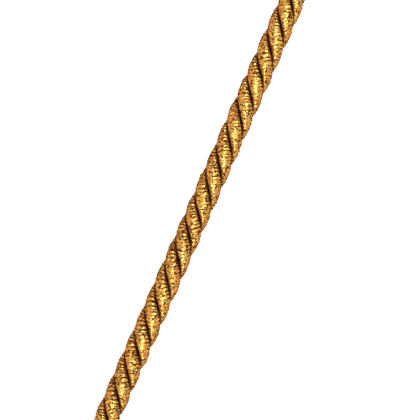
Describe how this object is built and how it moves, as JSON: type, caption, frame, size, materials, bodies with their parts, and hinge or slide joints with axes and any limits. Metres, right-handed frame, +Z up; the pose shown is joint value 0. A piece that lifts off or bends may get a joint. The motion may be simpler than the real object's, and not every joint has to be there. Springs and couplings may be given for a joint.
{
  "type": "twisted decorative cord",
  "caption": "Straight cut length of twisted trimming cord: fat plies wound with fine gold metallic yarn, laid round one another, for edging and tying back.",
  "frame": {"origin": "on the surface that the cord lies on, under the middle of its length", "axes": "+X along the cord, +Z up from the surface, +Y across the cord"},
  "size_m": [0.14, 0.006, 0.0058],
  "materials": {
    "gold_yarn": "glittering metallic gold yarn in fine wound ribs, from bright yellow gold to red-brown in the grooves"
  },
  "bodies": {
    "root": {"ply_1": "gold_yarn", "ply_2": "gold_yarn", "ply_3": "gold_yarn"}
  },
  "joints": []
}
